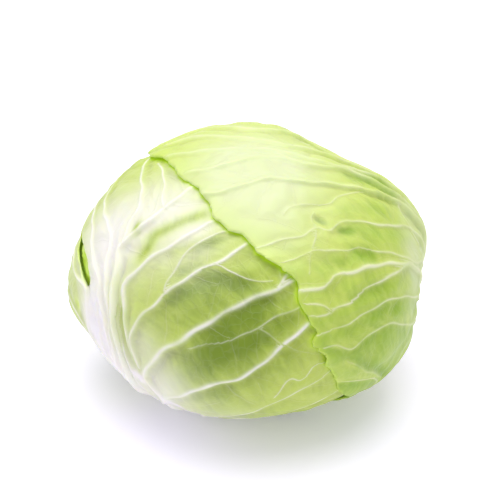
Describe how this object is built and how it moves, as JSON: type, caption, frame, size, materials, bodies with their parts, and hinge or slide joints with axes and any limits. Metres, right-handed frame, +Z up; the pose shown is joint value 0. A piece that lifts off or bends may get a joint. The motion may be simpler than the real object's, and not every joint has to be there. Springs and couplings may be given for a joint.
{
  "type": "cabbage head",
  "caption": "Whole white cabbage head with overlapping ribbed wrapper leaves and a cut stalk butt, resting on a small flat spot.",
  "frame": {"origin": "centre of the flat spot that the head rests on, at the middle of the bounding box's underside", "axes": "+Z up from the surface it rests on, +X to the side whose wrapper leaf lies outermost, -Y to the side where that leaf's margin crosses the head"},
  "size_m": [0.1985, 0.2036, 0.143],
  "materials": {
    "leaf_right": "fresh cabbage leaf, pale yellow-green between white ribs, thin waxy bloom, soft satin",
    "leaf_left": "fresh cabbage leaf, mid green with a white base and white ribs, thin waxy bloom, soft satin",
    "under_leaves": "fresh cabbage leaf, light green with white ribs, soft satin",
    "inner_leaves": "packed pale inner cabbage leaves, soft satin",
    "stalk": "cut fibrous stalk, cream with a drier rim, matte"
  },
  "bodies": {
    "root": {"wrapper_leaf_right": "leaf_right", "wrapper_leaf_left": "leaf_left", "under_leaf_back": "under_leaves", "under_leaf_front": "under_leaves", "under_leaf_left": "under_leaves", "inner_head": "inner_leaves", "stalk_butt": "stalk"}
  },
  "joints": []
}
